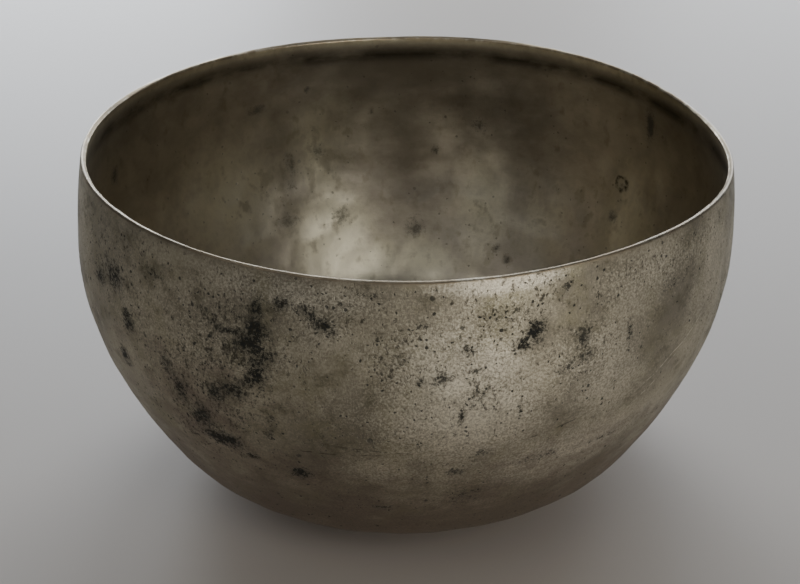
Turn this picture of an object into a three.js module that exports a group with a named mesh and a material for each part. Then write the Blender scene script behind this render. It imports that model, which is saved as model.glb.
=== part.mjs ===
// Singing bowl: a deep bowl beaten from one piece of bell bronze.
//
// Real bowls of this kind have no second piece, so the model is one closed solid
// with a flat foot, a tight turn low on the wall, a full belly and a lip that
// leans in a little. The beating leaves it slightly oval and the lip uneven.
//
// Units are millimetres, angles are degrees and +Z is up. The origin is the centre
// of the foot, on the surface the bowl stands on. Angles around the bowl start at
// the front, -Y, and grow towards +X.
import * as THREE from "three";
import { mergeVertices } from "three/addons/utils/BufferGeometryUtils.js";

// Outer wall. It leaves the flat foot at FOOT_SLOPE and is a chain of arcs, each
// starting where the last one ends and in the same direction. An arc's slope is the
// wall's angle above level at the arc's upper end, so 90 is upright.
const FOOT_RADIUS = 37;
const FOOT_SLOPE = 10.3;
const UNDERSIDE = { radius: 123, slope: 27.5, steps: 3 };
const TURN = { radius: 22.5, slope: 58.3, steps: 4 };
const FLANK = { radius: 150, slope: 71.7, steps: 3 };
const BELLY = { radius: 81, slope: 92, steps: 4 };
const COLLAR = { radius: 169, steps: 3 };
const HEIGHT = 108.3; // mean height of the lip

// Wall thickness changes evenly with height, from the foot to the lip.
const FOOT_THICKNESS = 2.4;
const LIP_THICKNESS = 1.6;

// The plan is an oval: the radius is this share larger on the long axis and smaller
// on the short one.
const OVAL_SHARE = 0.0218;
const OVAL_LONG_AXIS = -57.2;

// Rise and fall of the lip: number of waves around the bowl, height and a peak's place.
const LIP_WAVES = [
  { count: 1, rise: 1.27, peak: -118 },
  { count: 2, rise: 0.56, peak: 3.6 },
  { count: 3, rise: 0.56, peak: 36.6 },
  { count: 4, rise: 0.53, peak: -41.6 },
];
const WAVE_FADE = 3; // power of height by which the waves die out below the lip

const SEGMENTS = 72; // facets around the bowl
const LIP_STEPS = 4; // facets over the rounded lip

const { degToRad, lerp } = THREE.MathUtils;

// A point of the outer wall with the wall's slope there, in radians.
function wallPoint(radius, height, slope) {
  return { radius, height, slope };
}

// Points of one arc that goes on from `start` to the given slope, without `start`.
function arcFrom(start, arcRadius, endSlope, steps) {
  const centreRadius = start.radius - arcRadius * Math.sin(start.slope);
  const centreHeight = start.height + arcRadius * Math.cos(start.slope);
  const points = [];
  for (let step = 1; step <= steps; step += 1) {
    const slope = lerp(start.slope, endSlope, step / steps);
    const radius = centreRadius + arcRadius * Math.sin(slope);
    const height = centreHeight - arcRadius * Math.cos(slope);
    points.push(wallPoint(radius, height, slope));
  }
  return points;
}

// Slope at which an arc that goes on from `start` reaches the given height.
function slopeAtHeight(start, arcRadius, height) {
  const rise = height - start.height;
  return Math.acos(Math.cos(start.slope) - rise / arcRadius);
}

// The outer wall from the edge of the foot up to where the lip starts to round over.
function outerWall() {
  const points = [wallPoint(FOOT_RADIUS, 0, degToRad(FOOT_SLOPE))];
  for (const arc of [UNDERSIDE, TURN, FLANK, BELLY]) {
    points.push(...arcFrom(points.at(-1), arc.radius, degToRad(arc.slope), arc.steps));
  }
  const lipStart = HEIGHT - LIP_THICKNESS / 2;
  const lipSlope = slopeAtHeight(points.at(-1), COLLAR.radius, lipStart);
  points.push(...arcFrom(points.at(-1), COLLAR.radius, lipSlope, COLLAR.steps));
  return points;
}

// The point at the given depth under the outer wall, square to it.
function inside(point, depth) {
  return new THREE.Vector2(
    point.radius - depth * Math.sin(point.slope),
    point.height + depth * Math.cos(point.slope),
  );
}

// Half-round lip from the outer face over to the inner one.
function roundedLip(top) {
  const roundRadius = LIP_THICKNESS / 2;
  const points = [];
  for (let step = 1; step < LIP_STEPS; step += 1) {
    const turn = (Math.PI * step) / LIP_STEPS;
    const across = inside(top, roundRadius * (1 - Math.cos(turn)));
    const up = roundRadius * Math.sin(turn);
    across.x += up * Math.cos(top.slope);
    across.y += up * Math.sin(top.slope);
    points.push(across);
  }
  return points;
}

// Half section of the bowl, from the axis under the foot to the axis inside it.
function section() {
  const outer = outerWall();
  const inner = outer.map((point) => {
    const thickness = lerp(FOOT_THICKNESS, LIP_THICKNESS, point.height / HEIGHT);
    return inside(point, thickness);
  });
  return [
    new THREE.Vector2(0, 0),
    ...outer.map((point) => new THREE.Vector2(point.radius, point.height)),
    ...roundedLip(outer.at(-1)),
    ...inner.reverse(),
    new THREE.Vector2(0, FOOT_THICKNESS),
  ];
}

// Moves each vertex of the true round bowl to its place on the oval, wavy one.
function beatOutOfRound(geometry) {
  const position = geometry.getAttribute("position");
  const point = new THREE.Vector3();
  for (let index = 0; index < position.count; index += 1) {
    point.fromBufferAttribute(position, index);
    const around = Math.atan2(point.x, -point.y);
    const stretch = 1 + OVAL_SHARE * Math.cos(2 * (around - degToRad(OVAL_LONG_AXIS)));
    const fade = (point.z / HEIGHT) ** WAVE_FADE;
    for (const wave of LIP_WAVES) {
      point.z += fade * wave.rise * Math.cos(wave.count * (around - degToRad(wave.peak)));
    }
    position.setXYZ(index, point.x * stretch, point.y * stretch, point.z);
  }
}

function bowlGeometry() {
  const turned = new THREE.LatheGeometry(section(), SEGMENTS);
  turned.deleteAttribute("normal");
  turned.deleteAttribute("uv");
  const geometry = mergeVertices(turned);
  geometry.rotateX(Math.PI / 2);
  beatOutOfRound(geometry);
  geometry.computeVertexNormals();
  return geometry;
}

const agedBronze = new THREE.MeshStandardMaterial({
  color: 0x827a69,
  roughness: 0.45,
  metalness: 0.9,
});

const bowl = new THREE.Mesh(bowlGeometry(), agedBronze);
bowl.name = "bowl";

const singingBowl = new THREE.Group();
singingBowl.add(bowl);

export default singingBowl;
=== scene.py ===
import math

import bpy
import numpy as np
from mathutils import Matrix, Vector, kdtree, noise


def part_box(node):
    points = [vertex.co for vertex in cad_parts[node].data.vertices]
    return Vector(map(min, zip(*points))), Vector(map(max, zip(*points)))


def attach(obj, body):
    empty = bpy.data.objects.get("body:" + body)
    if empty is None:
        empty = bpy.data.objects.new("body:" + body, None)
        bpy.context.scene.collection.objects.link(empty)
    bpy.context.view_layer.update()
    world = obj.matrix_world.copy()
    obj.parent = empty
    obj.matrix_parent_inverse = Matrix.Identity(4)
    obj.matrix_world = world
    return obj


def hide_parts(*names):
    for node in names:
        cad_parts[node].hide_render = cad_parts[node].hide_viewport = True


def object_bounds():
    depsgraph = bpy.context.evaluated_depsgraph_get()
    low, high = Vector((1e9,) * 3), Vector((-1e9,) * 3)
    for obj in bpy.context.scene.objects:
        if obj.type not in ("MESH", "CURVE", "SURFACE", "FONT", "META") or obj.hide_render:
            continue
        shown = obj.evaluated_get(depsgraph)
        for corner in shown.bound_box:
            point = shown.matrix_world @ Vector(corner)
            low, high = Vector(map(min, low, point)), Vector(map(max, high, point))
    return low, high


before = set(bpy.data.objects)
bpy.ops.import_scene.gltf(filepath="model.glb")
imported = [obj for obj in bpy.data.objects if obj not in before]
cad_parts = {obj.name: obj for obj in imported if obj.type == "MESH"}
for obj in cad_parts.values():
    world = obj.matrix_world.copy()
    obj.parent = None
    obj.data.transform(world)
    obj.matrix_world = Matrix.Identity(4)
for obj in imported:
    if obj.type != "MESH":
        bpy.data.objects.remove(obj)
CAD_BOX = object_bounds()

MM = 0.001

# ---------------------------------------------------------------- the bowl's design, as in the CAD part
FOOT_RADIUS = 37
FOOT_SLOPE = 10.3
UNDERSIDE_RADIUS = 123
# The arcs of the outer wall, each with its radius and the wall's slope at its upper end.
WALL_ARCS = ((UNDERSIDE_RADIUS, 27.5), (22.5, 58.3), (150, 71.7), (81, 92))
COLLAR_RADIUS = 169
HEIGHT = 108.3
FOOT_THICKNESS = 2.4
LIP_THICKNESS = 1.6
OVAL_SHARE = 0.0218
OVAL_LONG_AXIS = -57.2
# Waves of the lip: count around the bowl, rise, place of a peak.
LIP_WAVES = ((1, 1.27, -118), (2, 0.56, 3.6), (3, 0.56, 36.6), (4, 0.53, -41.6))
WAVE_FADE = 3

# ---------------------------------------------------------------- the fine mesh
SEGMENTS = 400
ROW_STEP = 1.45        # distance between rows up the wall
FEWEST_ROWS = 2        # on an arc
FOOT_EDGE_RADIUS = 40  # soft edge between the flat foot and the underside
DISC_ROWS = 14         # rows across the foot, and across the floor inside
LIP_ROWS = 9
LIP_SQUARENESS = 2.4   # 2 is a half-round lip, more is flatter on top

# Beating. A hammer with a face of this radius leaves a cap about this deep, and the deepest
# cap shows.
OUTSIDE_BLOWS = {"count": 900, "face": 110, "depth": 0.13}
INSIDE_BLOWS = {"count": 620, "face": 120, "depth": 0.26}
SOFTEST_BLOW, HARDEST_BLOW = 0.6, 1.6  # shares of that depth
BLOW_SEED = 11
# Slow waves of the whole wall, and of each face and the lip alone: size, depth, noise offset.
WALL_SWELL = (62, 0.55, 3.1)
OUTSIDE_SWELL = (22, 0.22, 17.7)
INSIDE_SWELL = (30, 0.50, 41.3)
LIP_SWELL = (7, 0.10, 63.9)
FOOT_FADE = 12  # outside, waves and blows fade in over this height above the foot
LIP_COLLAR = 2  # both faces are even this close to the lip
LIP_FADE = 14   # and the blows fade in over this height below that


def arc_rows(start, radius, end_slope):
    """Rows (radius, height, slope) of an arc that goes on from `start`, without `start` itself."""
    start_radius, start_height, start_slope = start
    count = max(FEWEST_ROWS, round(radius * (end_slope - start_slope) / ROW_STEP))
    slopes = np.linspace(start_slope, end_slope, count + 1)[1:]
    centre_radius = start_radius - radius * math.sin(start_slope)
    centre_height = start_height + radius * math.cos(start_slope)
    radii = centre_radius + radius * np.sin(slopes)
    heights = centre_height - radius * np.cos(slopes)
    return np.stack([radii, heights, slopes], axis=1)


def foot_edge():
    """Where the flat of the foot ends, and the slope at which its soft edge meets the underside."""
    slope = math.radians(FOOT_SLOPE)
    centre_radius = FOOT_RADIUS - UNDERSIDE_RADIUS * math.sin(slope)
    centre_height = UNDERSIDE_RADIUS * math.cos(slope)
    between = UNDERSIDE_RADIUS - FOOT_EDGE_RADIUS
    across = math.sqrt(between**2 - (centre_height - FOOT_EDGE_RADIUS) ** 2)
    return centre_radius + across, math.asin(across / between)


def outer_rows():
    """Rows of the outer wall from the flat of the foot to where the lip starts to round over."""
    flat_radius, edge_slope = foot_edge()
    rows = np.array([[flat_radius, 0, 0]])
    rows = np.vstack([rows, arc_rows(rows[-1], FOOT_EDGE_RADIUS, edge_slope)])
    for radius, slope in WALL_ARCS:
        rows = np.vstack([rows, arc_rows(rows[-1], radius, math.radians(slope))])
    rise = HEIGHT - LIP_THICKNESS / 2 - rows[-1][1]
    lip_slope = math.acos(math.cos(rows[-1][2]) - rise / COLLAR_RADIUS)
    return np.vstack([rows, arc_rows(rows[-1], COLLAR_RADIUS, lip_slope)])


def section():
    """Half section from the foot to the floor inside: position, normal and side (0 out, 1 in)."""
    outer = outer_rows()
    radius, height, slope = outer.T
    thickness = FOOT_THICKNESS + (LIP_THICKNESS - FOOT_THICKNESS) * height / HEIGHT
    outward = np.stack([np.sin(slope), -np.cos(slope)], axis=1)
    outside = outer[:, :2]
    inside = outside - thickness[:, None] * outward

    share = np.linspace(0, 1, DISC_ROWS + 1)[1:-1, None]
    foot = np.hstack([share * radius[0], 0 * share])
    floor = np.hstack([share * radius[0], 0 * share + FOOT_THICKNESS])[::-1]

    turn = np.linspace(0, math.pi, LIP_ROWS + 2)[1:-1, None]
    across = np.sign(np.cos(turn)) * np.abs(np.cos(turn)) ** (2 / LIP_SQUARENESS)
    up = np.sin(turn) ** (2 / LIP_SQUARENESS)
    top_outward = outward[-1]
    top_up = np.array([-top_outward[1], top_outward[0]])
    middle = outside[-1] - top_outward * LIP_THICKNESS / 2
    lip = middle + (across * top_outward + up * top_up) * LIP_THICKNESS / 2
    lip_normal = np.cos(turn) * top_outward + np.sin(turn) * top_up

    down = np.array([[0, -1]])
    position = np.vstack([foot, outside, lip, inside[::-1], floor])
    normal = np.vstack([
        np.repeat(down, len(foot), axis=0), outward, lip_normal, -outward[::-1],
        np.repeat(-down, len(floor), axis=0),
    ])
    side = np.concatenate([
        np.zeros(len(foot) + len(outside)), turn[:, 0] / math.pi, np.ones(len(inside) + len(floor)),
    ])
    return position, normal, side


def swell(points, settings):
    """Smooth noise at each point. The settings are its size, its depth and an offset that picks
    the pattern."""
    size, depth, offset = settings
    shift = Vector((offset, -offset, 2 * offset))
    return depth * np.array([noise.noise(Vector(point) / size + shift) for point in points])


def hammered(points, rows, blows, random):
    """Depth of the hammer's caps at each of the points, which are the grid points of those rows."""
    chosen = np.flatnonzero(rows)
    tree = kdtree.KDTree(len(chosen))
    for index in chosen:
        tree.insert(points[index], int(index))
    tree.balance()
    radii = np.hypot(points[chosen, 0], points[chosen, 1])
    centres = random.choice(chosen, blows["count"], p=radii / radii.sum())
    reach = math.sqrt(2 * blows["face"] * blows["depth"] * HARDEST_BLOW)
    depth = np.zeros(len(points))
    for centre in centres:
        hit = blows["depth"] * random.uniform(SOFTEST_BLOW, HARDEST_BLOW)
        for _, index, distance in tree.find_range(points[centre], reach):
            depth[index] = max(depth[index], hit - distance**2 / (2 * blows["face"]))
    return depth


def grid_of_points():
    """The bowl's points, row by row, with each one's normal, side, design height and angle."""
    position, normal, side = section()
    around = np.radians(np.arange(SEGMENTS) * 360 / SEGMENTS)
    oval = 1 + OVAL_SHARE * np.cos(2 * (around - math.radians(OVAL_LONG_AXIS)))
    wave = sum(rise * np.cos(count * (around - math.radians(peak))) for count, rise, peak in LIP_WAVES)
    radius = position[:, :1] * oval
    design_height = np.repeat(position[:, 1:], SEGMENTS, axis=1)
    height = design_height + (design_height / HEIGHT) ** WAVE_FADE * wave
    points = np.stack([radius * np.sin(around), -radius * np.cos(around), height], axis=-1)
    out = np.repeat(normal[:, :1], SEGMENTS, axis=1)
    normals = np.stack([
        out * np.sin(around), -out * np.cos(around), np.repeat(normal[:, 1:], SEGMENTS, axis=1),
    ], axis=-1)
    sides = np.repeat(side[:, None], SEGMENTS, axis=1)
    angles = np.repeat(np.degrees(around)[None, :], len(position), axis=0)
    return (
        points.reshape(-1, 3), normals.reshape(-1, 3), sides.ravel(), design_height.ravel(),
        (angles.ravel() + 180) % 360 - 180,
    )


def beat(points, normals, sides, heights):
    """Moves the points in and out as the hammer left them. The flat of the foot stays flat."""
    random = np.random.default_rng(BLOW_SEED)
    outside = sides == 0
    inside = sides == 1
    lip = ~outside & ~inside
    wall = np.clip(heights / FOOT_FADE, 0, 1)
    outward = np.where((sides < 0.5)[:, None], normals, -normals)
    push = outward * (swell(points, WALL_SWELL) * wall)[:, None]
    own = np.where(outside, swell(points, OUTSIDE_SWELL), 0)
    own += np.where(inside, swell(points, INSIDE_SWELL), 0)
    below_lip = np.clip((HEIGHT - LIP_COLLAR - heights) / LIP_FADE, 0, 1)
    own = own * below_lip + np.where(lip, swell(points, LIP_SWELL), 0)
    own -= hammered(points, outside, OUTSIDE_BLOWS, random) * below_lip
    own -= hammered(points, inside, INSIDE_BLOWS, random) * below_lip
    fade = np.where(inside, 1, wall)
    return points + push + normals * (own * fade)[:, None]


def faces_between(rows):
    """Quads of a closed ring grid, and fans of triangles to the poles before and after it."""
    ring = np.arange(SEGMENTS)
    after = (ring + 1) % SEGMENTS
    quads = []
    for row in range(rows - 1):
        low = row * SEGMENTS
        high = low + SEGMENTS
        quads.extend(np.stack([low + ring, low + after, high + after, high + ring], axis=1).tolist())
    first_pole = rows * SEGMENTS
    last = (rows - 1) * SEGMENTS
    fans = [(first_pole, int(b), int(a)) for a, b in zip(ring, after)]
    fans += [(first_pole + 1, int(last + a), int(last + b)) for a, b in zip(ring, after)]
    return quads + fans


def bowl_mesh():
    """The beaten bowl in metres, to the CAD bowl's size, with each vertex's side, design height
    and angle."""
    points, normals, sides, heights, angles = grid_of_points()
    low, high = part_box("bowl")
    unit = (high.z - low.z) / points[:, 2].max()
    beaten = beat(points, normals, sides, heights)
    beaten[:, 2] = np.maximum(beaten[:, 2], 0)
    poles = [[0, 0, 0], [0, 0, beaten[-SEGMENTS:, 2].mean()]]
    places = np.vstack([beaten, poles]) * unit + [0, 0, low.z]
    mesh = bpy.data.meshes.new("bowl_hammered")
    mesh.from_pydata(places.tolist(), [], faces_between(len(points) // SEGMENTS))
    mesh.shade_smooth()
    sides = np.append(sides, [0, 1])
    heights = np.append(heights, [0, FOOT_THICKNESS])
    angles = np.append(angles, [0, 0])
    return mesh, sides, heights, angles


# ---------------------------------------------------------------- where the bronze is stained and worn, and where a highlight and shade are painted on
# Bands that run all the way round the bowl.
FOOT_RUB_HEIGHT = 1.6    # the foot is rubbed bright up to about this height
FOOT_RUB_WEAR = 0.45
FOOT_RUB_CLEANING = 0.4  # darkening that the rubbing takes away
TARNISH_HEIGHT = 62      # outside, the bronze is browner and darker from the foot, fading out up to this height
INNER_STRIP_WIDTH = 3.2  # bright strip inside, next to the lip
# share of the painted shade inside that the bright strip takes away
INNER_STRIP_SHADE_CUT = 0.9
LIP_WEAR_OUTSIDE = 0.7   # how far below the lip its own wear reaches on each face
LIP_WEAR_INSIDE = 1.3
RIM_SHADOW_DEPTH = 6.8   # dark line inside: how far below the lip, and how wide
RIM_SHADOW_WIDTH = 2.3
INSIDE_CHANGE = 1.6      # how fast the look changes to the inner one across the lip

# Soft ellipses. Each place: angle around, height, half width, half height, strength.
ELLIPSE_FALL_OFF = 0.7
WALL_RADIUS = 96  # turns angles into distances around the wall
OUTSIDE_STAINS = (
    # the long drip left of the front, its arms and the hook beside it
    (-22, 98, 1.4, 3.0, 0.95), (-22, 92, 2.6, 3.2, 0.95), (-23, 88, 4.0, 2.2, 0.9),
    (-21, 86, 3.4, 2.2, 0.8), (-22, 81, 2.2, 4.6, 1.0), (-23, 77, 2.2, 1.6, 0.9),
    (-26, 90, 3.2, 1.2, 0.9), (-29, 91, 3.0, 1.0, 0.6), (-18, 100.5, 2.2, 1.2, 0.9),
    (-15, 99.5, 2.2, 1.3, 0.9), (-12, 96.3, 1.9, 1.5, 0.95), (-14, 98.3, 1.4, 1.3, 0.9),
    (-10.5, 94.8, 1.2, 1.3, 0.8),
    # far left
    (-51, 91, 4.4, 3.4, 0.75), (-56, 88, 3.0, 4.0, 0.6), (-47, 81, 2.0, 3.2, 0.8),
    (-50, 67, 1.8, 2.4, 0.8), (-40, 98, 3.0, 1.6, 0.5),
    # low left
    (-26, 73, 3.2, 2.2, 0.85), (-29, 70, 2.4, 2.2, 0.75), (-30.5, 53.5, 4.6, 2.2, 1.1),
    (-28, 55, 1.8, 1.4, 0.9), (-25, 50, 1.6, 1.0, 1.0), (-17, 47.5, 2.4, 1.7, 1.15),
    (-20, 66.5, 1.3, 0.7, 0.8), (-21, 61, 0.9, 2.4, 0.6), (-33, 60, 3.2, 3.2, 0.75),
    (-36, 67, 2.2, 3.4, 0.75), (-39, 73, 2.0, 2.8, 0.6),
    # front and right
    (15, 98.5, 4.4, 1.6, 0.35), (18.5, 93, 2.3, 3.0, 1.0), (17, 89.5, 2.2, 1.8, 1.0),
    (9, 90.5, 2.2, 1.8, 0.7), (10, 84, 1.7, 0.8, 0.75), (27, 88, 2.4, 2.8, 0.5),
    (24, 80.5, 2.4, 1.2, 0.55), (28, 82.5, 2.2, 1.2, 0.55), (2, 97, 1.6, 1.8, 0.5),
    (-1, 88, 1.6, 1.6, 0.6), (2, 82, 1.2, 1.2, 0.8), (5, 82.5, 2.2, 1.4, 0.6),
    (12, 79, 0.8, 0.8, 0.7), (8, 70.5, 0.9, 2.0, 0.85), (10, 76.5, 3.6, 1.0, 0.35),
    (2, 61.5, 0.9, 1.2, 0.75), (12, 56.5, 2.0, 0.8, 0.95), (35, 50, 4.2, 0.8, 0.6),
    (22, 51, 8.0, 1.5, 0.4), (8, 50, 2.4, 1.0, 0.6), (10, 38.5, 5.0, 3.0, 0.4),
    (17, 70, 0.5, 2.5, 0.6), (46, 94, 4.0, 2.0, 0.5), (36, 85, 0.8, 3.4, 0.65),
    (-6, 105, 2.2, 0.8, 0.7), (-4, 34, 2.4, 0.8, 0.7), (24, 103, 2.0, 0.8, 0.5),
    (31, 97, 2.4, 1.2, 0.4),
    # behind, out of the front view
    (118, 80, 3.4, 5.0, 1.0), (121, 71, 2.8, 4.0, 0.9), (124, 64, 2.2, 3.0, 0.9),
    (113, 84, 4.0, 1.6, 0.8), (151, 93, 4.0, 2.2, 0.9), (156, 91, 2.4, 1.6, 0.8),
    (176, 58, 3.0, 2.2, 1.0), (171, 62, 1.8, 1.6, 0.8), (-166, 86, 3.0, 4.0, 0.9),
    (-162, 81, 2.4, 2.6, 0.9), (-141, 97, 3.0, 1.6, 0.9), (-120, 62, 4.0, 2.2, 1.0),
    (-117, 67, 1.8, 2.0, 0.8), (-96, 88, 2.6, 4.0, 0.9), (-93, 81, 2.0, 2.4, 0.8),
    (80, 70, 3.0, 1.8, 0.9), (64, 45, 2.4, 1.4, 0.9), (-75, 52, 2.8, 1.6, 0.9),
    (-178, 32, 3.0, 1.2, 0.8), (92, 98, 2.6, 1.2, 0.8),
)
INSIDE_STAINS = (
    (127.5, 64.5, 2.0, 2.0, 0.55), (122, 92, 1.6, 4.6, 1.2), (128, 52.5, 2.0, 2.0, 0.8),
    (174, 63, 1.1, 1.3, 0.9), (164, 74, 2.2, 2.2, 0.8), (-162, 40, 3.4, 3.0, 0.6),
    (-148, 42, 5.0, 2.6, 0.45), (178, 35, 3.4, 3.0, 0.7), (-156, 90, 1.2, 1.2, 1.0),
    (-144, 85, 3.0, 1.4, 0.8), (-171, 79, 1.0, 1.2, 0.8), (156, 30, 1.6, 1.6, 0.7),
    (152, 27, 1.8, 1.8, 0.8), (-158, 66, 2.4, 2.4, 0.6), (-151, 62, 2.0, 4.0, 0.6),
    (-150, 54, 2.0, 3.0, 0.5), (30, 60, 4.0, 3.0, 0.8), (70, 80, 2.6, 2.4, 0.7),
    (-40, 70, 3.0, 4.0, 0.8), (-84, 50, 3.0, 2.4, 0.7), (5, 40, 2.6, 1.6, 0.7),
    (98, 30, 3.0, 2.4, 0.7), (-100, 84, 1.6, 2.6, 0.8), (50, 22, 3.0, 2.0, 0.7),
)
# Areas that are full of dark flecks and pits.
OUTSIDE_FLECKS = (
    (-25, 86, 16, 16, 1.0), (-30, 72, 16, 13, 1.1), (-33, 60, 14, 11, 1.1),
    (-12, 99, 22, 6, 0.7), (-46, 86, 12, 14, 0.5), (-2, 87, 8, 8, 0.95), (0, 88, 14, 9, 0.5),
    (14, 103, 18, 6, 0.6), (10, 78, 10, 12, 0.6), (13, 96, 16, 12, 0.5), (44, 101, 30, 4, 0.6),
    (-48, 100, 24, 5, 0.5), (27, 84, 9, 10, 0.6), (-8, 64, 16, 6, 0.4), (50, 92, 12, 8, 0.2),
    (-62, 98, 16, 7, 0.5), (118, 78, 18, 18, 1.0), (136, 62, 14, 10, 0.8),
    (158, 92, 20, 10, 0.7), (176, 70, 14, 14, 0.7), (-164, 82, 16, 14, 0.9),
    (-132, 94, 20, 8, 0.6), (-118, 70, 14, 14, 0.9), (-94, 84, 12, 14, 0.8),
    (84, 96, 16, 8, 0.6), (70, 72, 12, 12, 0.5),
)
INSIDE_FLECKS = (
    (-158, 58, 16, 16, 0.9), (-146, 50, 12, 12, 0.6), (160, 34, 16, 10, 0.5),
    (134, 50, 12, 14, 0.4), (20, 60, 16, 14, 0.8), (-60, 66, 16, 14, 0.6), (90, 50, 14, 14, 0.6),
)
# Areas outside where brown tarnish reaches up the wall.
OUTSIDE_TARNISH_AREAS = (
    (-34, 66, 18, 16, 0.45), (-56, 70, 20, 14, 0.25), (-18, 52, 16, 8, 0.25),
    (30, 52, 20, 6, 0.2), (130, 60, 24, 16, 0.4), (-150, 56, 30, 12, 0.35),
    (-90, 60, 24, 14, 0.3), (84, 56, 20, 12, 0.3),
)
# Areas inside that are painted darker as shade, most of all high on the back wall.
INSIDE_PAINTED_SHADE_AREAS = (
    (-178, 96, 44, 14, 1.0), (164, 84, 26, 13, 0.8), (-150, 98, 26, 10, 0.4),
    (156, 74, 20, 14, 0.5), (-179, 64, 13, 26, 0.8), (166, 66, 10, 16, 0.4),
    (-90, 98, 60, 10, 0.4), (90, 98, 60, 10, 0.4), (0, 98, 70, 10, 0.5), (-40, 60, 30, 20, 0.4),
    (60, 64, 30, 18, 0.4),
)
# Areas where handling has kept the bronze bright, and in front, from the lip down to the front right, a
# painted highlight.
OUTSIDE_WEAR_AND_HIGHLIGHT = (
    (14, 106.5, 18, 2.4, 1.0), (12, 100, 20, 6, 0.35), (8, 84, 16, 14, 0.8),
    (9, 68, 20, 14, 1.0), (-13, 95, 7, 7, 0.4), (-6, 72, 14, 8, 0.4), (32, 76, 20, 18, 0.6),
    (42, 96, 22, 12, 0.5), (-70, 84, 14, 20, 0.2), (24, 50, 34, 11, 0.75), (-2, 50, 24, 8, 0.5),
    (-30, 88, 26, 12, 0.3), (14, 38, 34, 6, 0.4), (-17, 103, 20, 5, 0.6), (57, 90, 18, 22, 0.45),
    (105, 92, 16, 12, 0.4), (146, 76, 16, 18, 0.35), (-176, 96, 20, 9, 0.4),
    (-150, 66, 18, 12, 0.35), (-108, 92, 14, 14, 0.4), (-84, 66, 16, 12, 0.35),
    (72, 88, 14, 14, 0.4),
)
# Inside, the areas on the back half of the wall and round the floor are a painted highlight, the others
# are wear.
INSIDE_HIGHLIGHT_AND_WEAR = (
    (-158, 64, 12, 26, 0.75), (-162, 84, 9, 15, 0.6), (-158, 34, 18, 16, 1.1),
    (-170, 22, 16, 9, 1.0), (176, 22, 16, 8, 0.9), (161, 42, 11, 20, 0.75),
    (144, 44, 16, 16, 0.6), (-134, 54, 26, 24, 0.8), (124, 50, 22, 22, 0.55),
    (20, 40, 20, 20, 0.7), (-60, 34, 20, 16, 0.7), (80, 40, 18, 20, 0.6), (0, 14, 200, 7, 0.7),
)

# Long scratches outside: angle around, height, tilt from level, half length, strength.
BRIGHT_SCRATCHES = (
    (50, 72, 24, 16, 1.0), (46, 66, 31, 9, 0.8), (-60, 78, -52, 12, 0.7), (140, 74, -14, 22, 1.0),
    (-110, 80, 62, 14, 1.0), (178, 84, 20, 16, 0.8),
)
DARK_SCRATCHES = (
    (-10, 58, 3, 14, 0.7), (-4, 60, -6, 9, 0.7), (14, 66, 84, 7, 0.7), (24, 62, 12, 10, 0.7),
    (-155, 60, 8, 18, 0.7), (95, 84, 35, 12, 0.7),
)
SCRATCH_CORE, SCRATCH_EDGE = 0.08, 0.30  # a line is full and gone this far from its middle
SCRATCH_FADE = 6                         # it has faded out this far past its half length

# Ring marks inside, left by drops: angle around, height, radius.
RINGS = ((128, 65.5, 2.6), (-96, 44, 2.6), (24, 52, 2.4), (-30, 30, 1.8))
RING_CORE, RING_EDGE = 0.15, 0.95  # a mark is full and gone this far from its circle
RING_WOBBLE = 2.4                  # reach of the noise that bends it

# How far the lip is rubbed down to pale metal, partly a painted highlight behind, by angle around.
LIP_RUB_AND_SHEEN_ANGLES = (-180, -120, -80, -55, -35, 0, 30, 50, 70, 100, 140, 180)
LIP_RUB_AND_SHEEN_SHARES = (1.0, 0.6, 0.2, 0.15, 0.40, 0.15, 0.30, 0.10, 0.0, 0.0, 0.7, 1.0)


def on_wall(angle, height, side):
    """Point of the design's wall there. Side 0 is the outer face and side 1 the inner one."""
    position, _, sides = section()
    rows = position[(sides == side) & (position[:, 1] > FOOT_THICKNESS)]
    rows = rows[np.argsort(rows[:, 1])]
    around = math.radians(angle)
    radius = np.interp(height, rows[:, 1], rows[:, 0])
    radius *= 1 + OVAL_SHARE * math.cos(2 * (around - math.radians(OVAL_LONG_AXIS)))
    return radius * math.sin(around), -radius * math.cos(around), height


def blots(places, heights, angles):
    """Soft ellipses on the wall, the strongest one at each point."""
    amount = np.zeros(len(heights))
    for angle, height, half_width, half_height, strength in places:
        across = np.radians((angles - angle + 180) % 360 - 180) * WALL_RADIUS
        distance = (across / half_width) ** 2 + ((heights - height) / half_height) ** 2
        amount = np.maximum(amount, strength * np.exp(-ELLIPSE_FALL_OFF * distance))
    return amount


def band(values, middle, width):
    """Soft band around the middle, down to about a third at that width from it."""
    return np.exp(-(((values - middle) / width) ** 2))


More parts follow.
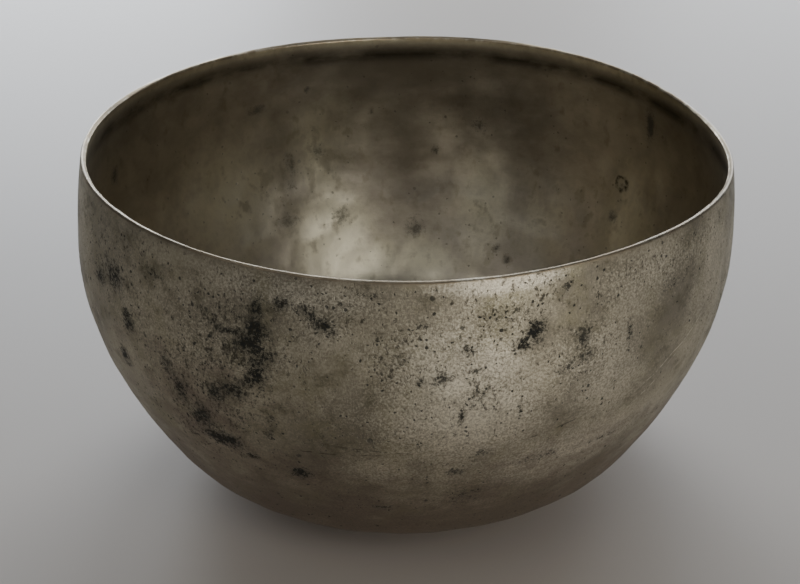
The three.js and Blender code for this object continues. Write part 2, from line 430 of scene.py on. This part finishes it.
def bronze_masks(sides, heights, angles):
    """For each thing that the bronze's look depends on, how much of it each vertex has."""
    inside = sides > 0.5
    on_lip = (sides > 0) & (sides < 1)
    below_lip = HEIGHT - heights
    lip_reach = np.where(inside, LIP_WEAR_INSIDE, LIP_WEAR_OUTSIDE)
    inner_strip = np.where(inside, band(below_lip, 0, INNER_STRIP_WIDTH), 0)
    foot_rub = band(heights, 0, FOOT_RUB_HEIGHT)

    def placed(outside_places, inside_places):
        outside_blots = blots(outside_places, heights, angles)
        return np.where(inside, blots(inside_places, heights, angles), outside_blots)

    bright_bands = np.where(inside, inner_strip, FOOT_RUB_WEAR * foot_rub)
    low_darkening = np.clip(1 - heights / TARNISH_HEIGHT, 0, 1) - FOOT_RUB_CLEANING * foot_rub
    outer_tarnish = low_darkening + blots(OUTSIDE_TARNISH_AREAS, heights, angles)
    inner_painted_shade = blots(INSIDE_PAINTED_SHADE_AREAS, heights, angles)
    inner_painted_shade *= 1 - INNER_STRIP_SHADE_CUT * inner_strip
    return {
        "inside": np.clip(0.5 + INSIDE_CHANGE * (sides - 0.5), 0, 1),
        "lip": np.where(on_lip, 1, band(below_lip, 0, lip_reach)),
        "stain": placed(OUTSIDE_STAINS, INSIDE_STAINS),
        "speckle": placed(OUTSIDE_FLECKS, INSIDE_FLECKS),
        # wear, and a painted highlight: outside in front, inside on the back wall and round the floor
        "wear_and_highlight": np.maximum(placed(OUTSIDE_WEAR_AND_HIGHLIGHT, INSIDE_HIGHLIGHT_AND_WEAR), bright_bands),
        # tarnish outside, painted shade inside
        "tarnish_and_shade": np.where(inside, inner_painted_shade, outer_tarnish),
        # rubbed lip, painted paler behind as a highlight
        "lip_rub_and_sheen": np.interp(angles, LIP_RUB_AND_SHEEN_ANGLES, LIP_RUB_AND_SHEEN_SHARES),
        "rim_shadow": np.where(inside, band(below_lip, RIM_SHADOW_DEPTH, RIM_SHADOW_WIDTH), 0),
    }


# ---------------------------------------------------------------- shader building blocks
class Nodes:
    """Short ways to add nodes to one material. They return the new node's outputs."""

    def __init__(self, name):
        self.material = bpy.data.materials.new(name)
        self.material.use_nodes = True
        self.tree = self.material.node_tree
        self.shader = self.tree.nodes["Principled BSDF"]

    def set(self, node, name, value):
        if isinstance(value, bpy.types.NodeSocket):
            self.tree.links.new(value, node.inputs[name])
        elif value is not None:
            node.inputs[name].default_value = value

    def position(self):
        """Place on the object in millimetres."""
        coordinates = self.tree.nodes.new("ShaderNodeTexCoord")
        scale = self.tree.nodes.new("ShaderNodeVectorMath")
        scale.operation = "SCALE"
        self.set(scale, "Vector", coordinates.outputs["Object"])
        self.set(scale, "Scale", 1 / MM)
        return scale.outputs["Vector"]

    def mapped(self, vector, squeeze=(1, 1, 1), shift=(0, 0, 0)):
        mapping = self.tree.nodes.new("ShaderNodeMapping")
        self.set(mapping, "Vector", vector)
        self.set(mapping, "Scale", squeeze)
        self.set(mapping, "Location", shift)
        return mapping.outputs["Vector"]

    def attribute(self, name):
        node = self.tree.nodes.new("ShaderNodeAttribute")
        node.attribute_name = name
        return node.outputs["Fac"]

    def noise(self, vector, size, detail=2, roughness=0.5, squeeze=(1, 1, 1), shift=(0, 0, 0)):
        """Noise in blots of about that size, squeezed along the axes. The shift picks the pattern."""
        node = self.tree.nodes.new("ShaderNodeTexNoise")
        self.set(node, "Vector", self.mapped(vector, squeeze, shift))
        self.set(node, "Scale", 1 / size)
        self.set(node, "Detail", detail)
        self.set(node, "Roughness", roughness)
        return node.outputs["Fac"]

    def wobbled(self, vector, size, reach):
        """The place moved by noise of that size, by 0 to `reach` millimetres along each axis."""
        node = self.tree.nodes.new("ShaderNodeTexNoise")
        self.set(node, "Vector", vector)
        self.set(node, "Scale", 1 / size)
        moved = self.tree.nodes.new("ShaderNodeVectorMath")
        moved.operation = "MULTIPLY_ADD"
        self.set(moved, 0, node.outputs["Color"])
        self.set(moved, 1, (reach, reach, reach))
        self.set(moved, 2, vector)
        return moved.outputs["Vector"]

    def cells(self, vector, size):
        """Distance to the middle of the nearest cell, in cells, and a number of that cell's own."""
        node = self.tree.nodes.new("ShaderNodeTexVoronoi")
        self.set(node, "Vector", vector)
        self.set(node, "Scale", 1 / size)
        split = self.tree.nodes.new("ShaderNodeSeparateColor")
        self.set(split, "Color", node.outputs["Color"])
        return node.outputs["Distance"], split.outputs["Red"]

    def ramp(self, value, low, high, start=0, end=1, smooth=True):
        """Number that goes from start to end as the value goes from low to high."""
        node = self.tree.nodes.new("ShaderNodeMapRange")
        node.interpolation_type = "SMOOTHSTEP" if smooth else "LINEAR"
        self.set(node, "Value", value)
        self.set(node, "From Min", low)
        self.set(node, "From Max", high)
        self.set(node, "To Min", start)
        self.set(node, "To Max", end)
        return node.outputs["Result"]

    def between(self, value, start, end):
        """Number that goes straight from start to end as the value goes from 0 to 1."""
        return self.ramp(value, 0, 1, start, end, smooth=False)

    def math(self, operation, first, second=None):
        node = self.tree.nodes.new("ShaderNodeMath")
        node.operation = operation
        self.set(node, 0, first)
        self.set(node, 1, second)
        return node.outputs["Value"]

    def add(self, first, second):
        return self.math("ADD", first, second)

    def times(self, first, second):
        return self.math("MULTIPLY", first, second)

    def larger(self, first, second):
        return self.math("MAXIMUM", first, second)

    def swing(self, value, amount):
        """Noise as a swing about 0, by half of that amount each way."""
        return self.times(self.math("SUBTRACT", value, 0.5), amount)

    def measure(self, operation, first, second):
        """Number from two vectors."""
        node = self.tree.nodes.new("ShaderNodeVectorMath")
        node.operation = operation
        self.set(node, 0, first)
        self.set(node, 1, second)
        return node.outputs["Value"]

    def off_by(self, value, aim):
        """How far the value is from its aim, either way."""
        return self.math("ABSOLUTE", self.math("SUBTRACT", value, aim))

    def mix(self, factor, first, second):
        """Blend of two colours."""
        node = self.tree.nodes.new("ShaderNodeMix")
        node.data_type = "RGBA"
        self.set(node, "Factor", factor)
        for name, value in (("A", first), ("B", second)):
            socket = next(s for s in node.inputs if s.name == name and s.type == "RGBA")
            if isinstance(value, bpy.types.NodeSocket):
                self.tree.links.new(value, socket)
            else:
                socket.default_value = (*value, 1)
        return next(s for s in node.outputs if s.type == "RGBA")

    def blend(self, factor, first, second):
        """Blend of two numbers."""
        node = self.tree.nodes.new("ShaderNodeMix")
        self.set(node, "Factor", factor)
        self.set(node, "A", first)
        self.set(node, "B", second)
        return node.outputs["Result"]

    def bump(self, height, depth, normal=None):
        """Bump whose height of 1 stands `depth` millimetres high."""
        node = self.tree.nodes.new("ShaderNodeBump")
        self.set(node, "Distance", depth * MM)
        self.set(node, "Height", height)
        self.set(node, "Normal", normal)
        return node.outputs["Normal"]


# ---------------------------------------------------------------- aged bronze
WORN_BRONZE = (0.47, 0.427, 0.32)
GREY_BRONZE = (0.275, 0.250, 0.192)
OLIVE_BRONZE = (0.285, 0.261, 0.170)
OLIVE_DIRT = (0.125, 0.113, 0.068)
# BRIGHT_BRONZE is the colour of the wear and the painted highlight outside, and of bright scratches
BRIGHT_BRONZE = (0.84, 0.785, 0.645)
DULL_BRONZE = (0.53, 0.485, 0.385)
BROWN_TARNISH = (0.270, 0.222, 0.175)
DARK_TARNISH = (0.190, 0.156, 0.124)
INSIDE_BRONZE = (0.50, 0.452, 0.366)
INSIDE_TARNISH = (0.425, 0.380, 0.305)
# INSIDE_BRIGHT is the colour of the painted highlight and the wear inside
INSIDE_BRIGHT = (0.88, 0.828, 0.635)
INSIDE_MOTTLE = (0.255, 0.215, 0.150)
# INSIDE_SHADE is the colour of the painted shade inside
INSIDE_SHADE = (0.185, 0.160, 0.122)
BLUE_BLACK = (0.012, 0.015, 0.016)
OLIVE_BLACK = (0.034, 0.030, 0.020)
STAIN_EDGE = (0.085, 0.083, 0.066)
RUBBED_LIP = (0.27, 0.220, 0.152)
DARK_LIP = (0.15, 0.125, 0.084)
PALE_LIP = (0.52, 0.425, 0.285)
WORN_LIP = (0.34, 0.278, 0.190)

# Patterns in the metal, each with its size in millimetres.
CLOUDS = {"size": 24, "detail": 5, "roughness": 0.6}
GRAIN = {"size": 0.62, "detail": 3, "roughness": 0.7}
FILM = {"size": 13, "detail": 6, "roughness": 0.62, "squeeze": (1, 1, 1.6), "shift": (9, 4, 2)}
OLIVE = {"size": 15, "detail": 5, "roughness": 0.65, "shift": (30, 2, 11)}
DIRT = {"size": 6.5, "detail": 5, "roughness": 0.65, "squeeze": (1, 1, 1.2), "shift": (5, 21, 8)}
MOTTLE = {"size": 4.5, "detail": 4, "roughness": 0.55, "squeeze": (1, 1, 0.8), "shift": (12, 7, 3)}
FLECK_PATCHES = {"size": 6, "detail": 4, "roughness": 0.65, "shift": (3, 8, 5)}
PORES = {"size": 1.1, "detail": 4, "roughness": 0.75, "squeeze": (1, 1, 0.6), "shift": (4, 4, 1)}
TEARS = {"size": 5.5, "detail": 3, "roughness": 0.6, "squeeze": (1, 1, 0.8), "shift": (7, 1, 6)}
CRUMBS = {"size": 1.2, "detail": 4, "roughness": 0.8, "shift": (2, 3, 9)}
SCRATCH_GAPS = {"size": 2.2}
RING_GAPS = {"size": 1.9}
LIP_PATCHES = {"size": 3.5, "detail": 4}
LIP_TONES = {"size": 16, "detail": 5, "roughness": 0.6}
DENTS = {"size": 6, "detail": 3}
# Patterns that are drawn out along or up the wall. Their squeeze alone sets their size.
STREAKS = {"size": 1, "detail": 5, "roughness": 0.65, "squeeze": (0.10, 0.10, 0.42), "shift": (2, 9, 4)}
RIM_CLOUDS = {"size": 1, "detail": 4, "roughness": 0.6, "squeeze": (0.05, 0.05, 0.12), "shift": (6, 2, 8)}
LEVEL_RUBS = {"size": 1, "detail": 3, "roughness": 0.7, "squeeze": (0.03, 0.03, 2.6)}
STEEP_RUBS = {"size": 1, "roughness": 0.6, "squeeze": (1.4, 1.4, 0.05), "shift": (5, 5, 5)}

# Pits: distance between their places in millimetres, and their largest radius as a share of it.
FINE_PITS = {"spacing": 0.9, "radius": 0.40, "shift": (3, 6, 1)}
SMALL_PITS = {"spacing": 1.5, "radius": 0.34, "shift": (1, 2, 3)}
LARGE_PITS = {"spacing": 3.7, "radius": 0.21, "shift": (5, 1, 8)}
PIT_EDGE = (-0.04, 0.06)  # a pit fades out over this much of a cell, across its radius

# Depths of the relief that is finer than the mesh, in millimetres.
RUB_DEPTH = 0.025
DENT_DEPTH = 0.10
GRAIN_DEPTH = 0.095
PIT_DEPTH = 0.05

OUTSIDE_ROUGHNESS = (0.43, 0.58)  # it varies from grain to grain
INSIDE_ROUGHNESS = 0.38
LIP_ROUGHNESS = 0.42
TARNISH_DULLING = 0.06  # added to the roughness
CRUST_DULLING = 0.20
METALLIC = 0.97
CRUST_METALLIC = 0.35
SPECULAR_LEVEL = 0.25


class Bronze(Nodes):
    """The bronze's nodes, with what several of its layers are made from."""

    def __init__(self):
        super().__init__("aged_bronze")
        self.place = self.position()
        self.uneven = self.wobbled(self.place, size=1.1, reach=0.9)
        self.inside = self.attribute("inside")
        self.outside = self.math("SUBTRACT", 1.0, self.inside)
        self.speckle = self.attribute("speckle")
        # wear, and a painted highlight
        self.wear_and_highlight = self.attribute("wear_and_highlight")
        self.clouds = self.noise(self.place, **CLOUDS)
        self.grain = self.noise(self.place, **GRAIN)
        self.film = self.noise(self.place, **FILM)


def outer_bronze(nodes):
    """Cloudy grey bronze with olive and dirty patches, and bright grains where it is worn and where a
    highlight is painted on.
    """
    worn = nodes.add(nodes.clouds, nodes.swing(nodes.grain, nodes.between(nodes.speckle, 0.65, 1.8)))
    olive = nodes.noise(nodes.place, **OLIVE)
    dirt = nodes.add(nodes.noise(nodes.place, **DIRT), nodes.times(nodes.speckle, 0.05))
    wear_and_highlight = nodes.add(nodes.wear_and_highlight, nodes.swing(worn, 0.9))
    bright = nodes.mix(nodes.ramp(nodes.grain, 0.36, 0.62), DULL_BRONZE, BRIGHT_BRONZE)
    colour = nodes.mix(nodes.ramp(worn, 0.28, 0.72), GREY_BRONZE, WORN_BRONZE)
    colour = nodes.mix(nodes.ramp(olive, 0.48, 0.70, 0, 0.8), colour, OLIVE_BRONZE)
    colour = nodes.mix(nodes.ramp(dirt, 0.49, 0.72, 0, 0.62), colour, OLIVE_DIRT)
    return nodes.mix(nodes.ramp(wear_and_highlight, 0.12, 0.95, 0, 0.9), colour, bright)


def inner_bronze(nodes):
    """Smoother and browner bronze, mottled, and bright where it is worn and where a highlight is painted
    on.
    """
    mottle = nodes.noise(nodes.place, **MOTTLE)
    wear_and_highlight = nodes.add(nodes.wear_and_highlight, nodes.swing(nodes.clouds, 0.7))
    wear_and_highlight = nodes.add(wear_and_highlight, nodes.swing(mottle, 0.7))
    mottle = nodes.add(mottle, nodes.times(nodes.speckle, 0.15))
    colour = nodes.mix(nodes.ramp(nodes.film, 0.34, 0.66), INSIDE_BRONZE, INSIDE_TARNISH)
    colour = nodes.mix(nodes.ramp(wear_and_highlight, 0.10, 1.0, 0, 0.9), colour, INSIDE_BRIGHT)
    return nodes.mix(nodes.ramp(mottle, 0.54, 0.76, 0, 0.50), colour, INSIDE_MOTTLE)


def brown_tarnish_and_shade(nodes):
    """Share of brown tarnish, which lies in level streaks outside, and of painted shade inside, and their
    colour.
    """
    tarnish_and_shade = nodes.attribute("tarnish_and_shade")
    streaked = nodes.add(nodes.film, nodes.swing(nodes.noise(nodes.place, **STREAKS), 0.5))
    outer = nodes.ramp(nodes.add(streaked, tarnish_and_shade), 0.60, 1.15, 0, 0.85)
    inner = nodes.ramp(nodes.add(nodes.times(nodes.film, 0.5), tarnish_and_shade), 0.20, 1.30, 0, 0.95)
    tone = nodes.mix(nodes.ramp(nodes.grain, 0.34, 0.66), DARK_TARNISH, BROWN_TARNISH)
    return nodes.blend(nodes.inside, outer, inner), nodes.mix(nodes.inside, tone, INSIDE_SHADE)


def fine_flecks(nodes, density):
    """Share of fine dark flecks in the pores of the metal."""
    pores = nodes.noise(nodes.uneven, **PORES)
    flecks = nodes.ramp(nodes.add(pores, nodes.times(density, 0.17)), 0.58, 0.76)
    return nodes.times(flecks, nodes.between(nodes.inside, 0.85, 0.10))


def pits(nodes, share, spacing, radius, shift):
    """Round pits: one cell in `share` of them has one, of up to that radius, both in cells."""
    distance, number = nodes.cells(nodes.mapped(nodes.uneven, shift=shift), spacing)
    size = nodes.ramp(number, nodes.math("SUBTRACT", 1.0, share), 1.0, 0.0, radius, smooth=False)
    return nodes.ramp(nodes.math("SUBTRACT", size, distance), *PIT_EDGE)


def dark_pits(nodes, density):
    """Share of single dark pits with uneven edges. The finest ones are outside only."""
    share = nodes.between(density, 0.06, 0.42)
    fine_share = nodes.between(density, 0.04, 0.50)
    pit = nodes.larger(
        pits(nodes, share, **SMALL_PITS), nodes.times(pits(nodes, share, **LARGE_PITS), 0.75),
    )
    pit = nodes.larger(pit, nodes.times(pits(nodes, fine_share, **FINE_PITS), nodes.outside))
    return nodes.times(pit, nodes.between(nodes.inside, 0.8, 0.35))


def stains(nodes):
    """Shares of a stain's soft grey edge and of the ragged crust of grains within it."""
    stain = nodes.attribute("stain")
    level = nodes.add(stain, nodes.swing(nodes.noise(nodes.place, **TEARS), 1.3))
    crumbs = nodes.swing(nodes.noise(nodes.uneven, **CRUMBS), 3.2)
    crust = nodes.ramp(nodes.add(nodes.times(level, 0.62), crumbs), 0.29, 0.42)
    crust = nodes.times(crust, nodes.ramp(stain, 0.02, 0.22))
    crust = nodes.times(crust, nodes.between(nodes.inside, 0.95, 0.35))
    crust = nodes.times(crust, nodes.ramp(stain, 0.15, 0.80, 0.65, 1))
    edge = nodes.times(nodes.ramp(level, 0.05, 0.95, 0, 0.60), nodes.ramp(stain, 0.02, 0.20))
    return edge, crust


def scratch(nodes, place, angle, height, tilt, half_length):
    """Strength of one straight scratch: where a plane square to the wall cuts it near that place."""
    around = math.radians(angle)
    slope = math.radians(tilt)
    middle = on_wall(angle, height, side=0)
    across = (-math.cos(around) * math.sin(slope), -math.sin(around) * math.sin(slope), math.cos(slope))
    offset = sum(a * b for a, b in zip(middle, across))
    off_line = nodes.off_by(nodes.measure("DOT_PRODUCT", place, across), offset)
    from_middle = nodes.measure("DISTANCE", place, middle)
    near = nodes.ramp(from_middle, 0.5 * half_length, half_length + SCRATCH_FADE, 1, 0)
    return nodes.times(nodes.ramp(off_line, SCRATCH_CORE, SCRATCH_EDGE, 1, 0), near)


def scratches(nodes, lines):
    """Strength of those scratches, bent and broken a little, on the outside."""
    crooked = nodes.wobbled(nodes.place, size=9, reach=1.6)
    broken = nodes.ramp(nodes.noise(nodes.place, **SCRATCH_GAPS), 0.40, 0.58)
    total = 0.0
    for angle, height, tilt, half_length, strength in lines:
        line = nodes.times(scratch(nodes, crooked, angle, height, tilt, half_length), broken)
        total = nodes.larger(nodes.times(line, strength), total)
    return nodes.times(total, nodes.outside)


def ring_marks(nodes):
    """Strength of the thin, broken ring marks inside."""
    crooked = nodes.wobbled(nodes.place, size=2.8, reach=RING_WOBBLE)
    broken = nodes.ramp(nodes.noise(nodes.place, **RING_GAPS), 0.36, 0.60, 0.25, 0.85)
    total = 0.0
    for angle, height, radius in RINGS:
        middle = [part + RING_WOBBLE / 2 for part in on_wall(angle, height, side=1)]
        off_ring = nodes.off_by(nodes.measure("DISTANCE", crooked, middle), radius)
        total = nodes.larger(nodes.ramp(off_ring, RING_CORE, RING_EDGE, 1, 0), total)
    return nodes.times(nodes.times(total, broken), nodes.inside)


def rim_shadow(nodes):
    """Share of the cloudy dark line under the lip inside."""
    cloudy = nodes.ramp(nodes.noise(nodes.place, **RIM_CLOUDS), 0.34, 0.62, 0.25, 0.85)
    return nodes.times(nodes.attribute("rim_shadow"), cloudy)


def rubbed_lip_and_sheen(nodes):
    """Share of rubbed metal on the lip, and its colour, which is palest behind, partly as a painted
    highlight.
    """
    patches = nodes.ramp(nodes.noise(nodes.place, **LIP_PATCHES), 0.35, 0.55, 0.5, 1)
    tone = nodes.ramp(nodes.noise(nodes.place, **LIP_TONES), 0.34, 0.52)
    dark = nodes.mix(tone, DARK_LIP, RUBBED_LIP)
    pale = nodes.mix(tone, WORN_LIP, PALE_LIP)
    colour = nodes.mix(nodes.attribute("lip_rub_and_sheen"), dark, pale)
    return nodes.times(nodes.attribute("lip"), patches), colour


def relief(nodes, brown, dull, pit):
    """Relief finer than the mesh: lines from rubbing, dents, grain, and sunk crust and pits."""
    rubs = nodes.add(
        nodes.noise(nodes.place, **LEVEL_RUBS), nodes.times(nodes.noise(nodes.place, **STEEP_RUBS), 0.6),
    )
    normal = nodes.bump(rubs, RUB_DEPTH)
    normal = nodes.bump(nodes.noise(nodes.place, **DENTS), DENT_DEPTH, normal)
    coarse = nodes.add(0.55, nodes.times(nodes.wear_and_highlight, 0.65))
    coarse = nodes.math("SUBTRACT", coarse, nodes.times(brown, 0.45))
    grain = nodes.times(nodes.times(nodes.grain, coarse), nodes.outside)
    normal = nodes.bump(grain, GRAIN_DEPTH, normal)
    return nodes.bump(nodes.times(nodes.add(dull, pit), -1.0), PIT_DEPTH, normal)


def aged_bronze():
    """The bronze's material: bare metal under layers of tarnish, dirt and wear, with a painted highlight
    and painted shade.
    """
    nodes = Bronze()
    patches = nodes.ramp(nodes.noise(nodes.place, **FLECK_PATCHES), 0.36, 0.62, 0.3, 1)
    density = nodes.times(nodes.speckle, patches)
    # brown tarnish outside, painted shade inside
    brown, brown_colour = brown_tarnish_and_shade(nodes)
    flecks = fine_flecks(nodes, density)
    pit = dark_pits(nodes, density)
    edge, crust = stains(nodes)
    crust_colour = nodes.mix(nodes.ramp(nodes.grain, 0.42, 0.6), BLUE_BLACK, OLIVE_BLACK)
    lip, lip_colour = rubbed_lip_and_sheen(nodes)

    colour = nodes.mix(nodes.inside, outer_bronze(nodes), inner_bronze(nodes))
    for share, layer in (
        (brown, brown_colour),
        (flecks, OLIVE_BLACK),
        (pit, BLUE_BLACK),
        (edge, STAIN_EDGE),
        (crust, crust_colour),
        (nodes.times(scratches(nodes, BRIGHT_SCRATCHES), 0.7), BRIGHT_BRONZE),
        (nodes.times(scratches(nodes, DARK_SCRATCHES), 0.8), OLIVE_BLACK),
        (ring_marks(nodes), OLIVE_BLACK),
        (rim_shadow(nodes), OLIVE_BLACK),
        (lip, lip_colour),
    ):
        colour = nodes.mix(share, colour, layer)
    nodes.set(nodes.shader, "Base Color", colour)

    # bare metal is smoother than tarnish, and flecks, pits and crust are duller still
    dull = nodes.larger(crust, nodes.larger(flecks, pit))
    roughness = nodes.ramp(nodes.grain, 0.3, 0.7, *OUTSIDE_ROUGHNESS, smooth=False)
    roughness = nodes.blend(nodes.inside, roughness, INSIDE_ROUGHNESS)
    roughness = nodes.add(roughness, nodes.times(brown, TARNISH_DULLING))
    roughness = nodes.add(roughness, nodes.times(dull, CRUST_DULLING))
    nodes.set(nodes.shader, "Roughness", nodes.blend(lip, roughness, LIP_ROUGHNESS))
    nodes.set(nodes.shader, "Specular IOR Level", SPECULAR_LEVEL)
    nodes.set(nodes.shader, "Metallic", nodes.between(dull, METALLIC, CRUST_METALLIC))
    nodes.set(nodes.shader, "Normal", relief(nodes, brown, dull, pit))
    return nodes.material


def finish_bowl():
    mesh, sides, heights, angles = bowl_mesh()
    for name, values in bronze_masks(sides, heights, angles).items():
        attribute = mesh.attributes.new(name, "FLOAT", "POINT")
        attribute.data.foreach_set("value", values.astype(np.float32))
    mesh.materials.append(aged_bronze())
    bowl = bpy.data.objects.new("bowl_hammered", mesh)
    bpy.context.scene.collection.objects.link(bowl)
    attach(bowl, "root")
    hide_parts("bowl")


# ---------------------------------------------------------------- the studio
FLOOR_COLOUR = (0.58, 0.529, 0.472)
FLOOR_ROUGHNESS = 0.55
FLOOR_SIDE = 30
FLOOR_GAP = 0.0001  # the floor lies this far under the foot

ROOM_COLOUR = (0.80, 0.83, 0.90)
ROOM_STRENGTH = 0.14
WARM_LIGHT = (1.0, 0.96, 0.90)
COOL_LIGHT = (0.86, 0.92, 1.0)
# Square soft lamps that face the middle of the bowl: name, angle around, elevation, distance,
# side, watts, colour, spread.
LAMPS = (
    ("front_low", 33, 3, 1.5, 0.45, 1.72, WARM_LIGHT, 90),
    ("front_high", 38, 36, 1.5, 0.6, 2.2, WARM_LIGHT, 180),
    ("back_left", -160, 11, 1.6, 0.7, 19, COOL_LIGHT, 180),
    ("back_right", 155, 11, 1.6, 0.7, 10, COOL_LIGHT, 180),
    ("high", 175, 40, 1.6, 0.8, 8, COOL_LIGHT, 180),
    ("fill", -40, 52, 1.6, 0.8, 1.5, WARM_LIGHT, 180),
)

# The camera stands where the photo was taken from, in front of the bowl, and looks down at it.
CAMERA_PLACE = (-0.8, -343.4, 242.2)
CAMERA_PITCH = 28.944
CAMERA_YAW = 0.296
CAMERA_ROLL = 0.801
CAMERA_LENS = 53.98


def add_floor():
    half = FLOOR_SIDE / 2
    level = CAD_BOX[0][2] - FLOOR_GAP
    mesh = bpy.data.meshes.new("floor")
    corners = [(-half, -half, level), (half, -half, level), (half, half, level), (-half, half, level)]
    mesh.from_pydata(corners, [], [(0, 1, 2, 3)])
    nodes = Nodes("pale_floor")
    nodes.set(nodes.shader, "Base Color", (*FLOOR_COLOUR, 1))
    nodes.set(nodes.shader, "Roughness", FLOOR_ROUGHNESS)
    mesh.materials.append(nodes.material)
    floor = bpy.data.objects.new("floor", mesh)
    bpy.context.scene.collection.objects.link(floor)


def direction(angle, elevation):
    """Unit vector at that angle around the bowl and that elevation."""
    around = math.radians(angle)
    level = math.cos(math.radians(elevation))
    up = math.sin(math.radians(elevation))
    return Vector((math.sin(around) * level, -math.cos(around) * level, up))


def add_lamps():
    middle = Vector((0, 0, (CAD_BOX[0][2] + CAD_BOX[1][2]) / 2))
    for name, angle, elevation, distance, side, power, colour, spread in LAMPS:
        light = bpy.data.lights.new(name, "AREA")
        light.size = side
        light.energy = power
        light.color = colour
        light.spread = math.radians(spread)
        lamp = bpy.data.objects.new(name, light)
        away = direction(angle, elevation)
        lamp.location = middle + away * distance
        lamp.rotation_euler = away.to_track_quat("Z", "Y").to_euler()
        lamp.visible_camera = False
        bpy.context.scene.collection.objects.link(lamp)


def add_room():
    world = bpy.data.worlds.new("room")
    world.use_nodes = True
    background = world.node_tree.nodes["Background"]
    background.inputs["Color"].default_value = (*ROOM_COLOUR, 1)
    background.inputs["Strength"].default_value = ROOM_STRENGTH
    bpy.context.scene.world = world


def add_camera():
    data = bpy.data.cameras.new("camera")
    data.lens = CAMERA_LENS
    camera = bpy.data.objects.new("camera", data)
    turn = Matrix.Rotation(math.radians(CAMERA_YAW), 4, "Z")
    tilt = Matrix.Rotation(math.radians(90 - CAMERA_PITCH), 4, "X")
    roll = Matrix.Rotation(math.radians(CAMERA_ROLL), 4, "Z")
    camera.matrix_world = Matrix.Translation(Vector(CAMERA_PLACE) * MM) @ turn @ tilt @ roll
    bpy.context.scene.collection.objects.link(camera)
    bpy.context.scene.camera = camera


add_camera()
finish_bowl()
add_floor()
add_lamps()
add_room()
